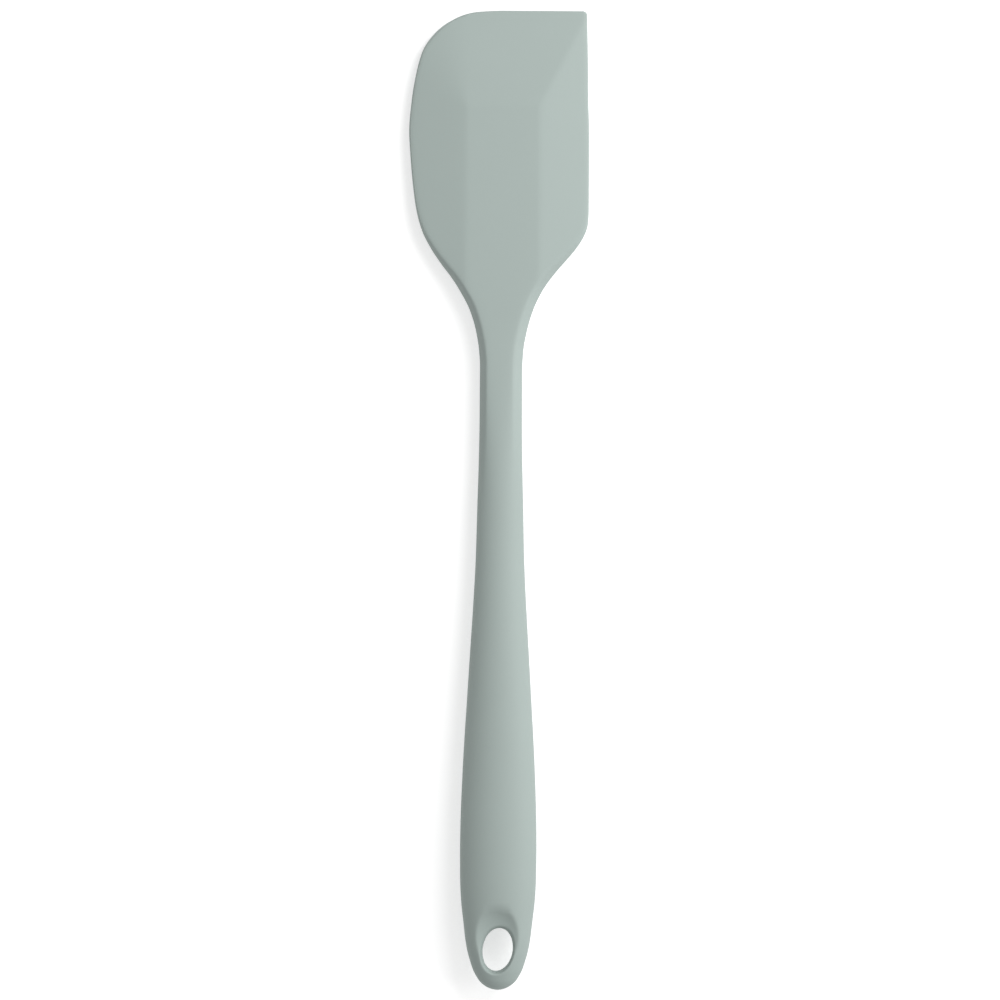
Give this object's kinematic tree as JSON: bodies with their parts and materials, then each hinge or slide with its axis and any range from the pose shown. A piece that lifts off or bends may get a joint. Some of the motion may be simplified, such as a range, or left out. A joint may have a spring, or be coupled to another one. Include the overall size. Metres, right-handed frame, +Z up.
{
  "type": "silicone spatula",
  "caption": "One-piece silicone spatula with a flat bevelled blade, a tapered oval handle and a hanging hole, moulded over a hidden stiff core.",
  "frame": {"origin": "On the table, under the middle of the plan outline, with the spatula lying at rest.", "axes": "+Y runs along the length towards the blade's tip, +X across the blade, +Z up through the thickness. The tool lies on the handle and the back of the blade, so its mid-plane leans about 1 degree."},
  "size_m": [0.0515, 0.28, 0.0151],
  "materials": {
    "silicone": "Satin-matte grey-green silicone rubber with a very fine moulded texture and soft highlights.",
    "core": "Natural off-white glass-filled nylon, matte, sealed inside the silicone.",
    "studs": "Matte grey-green silicone rubber, sealed inside the moulding."
  },
  "bodies": {
    "root": {"silicone_body": "silicone", "stiffening_core": "core", "locating_studs": "studs"}
  },
  "joints": []
}
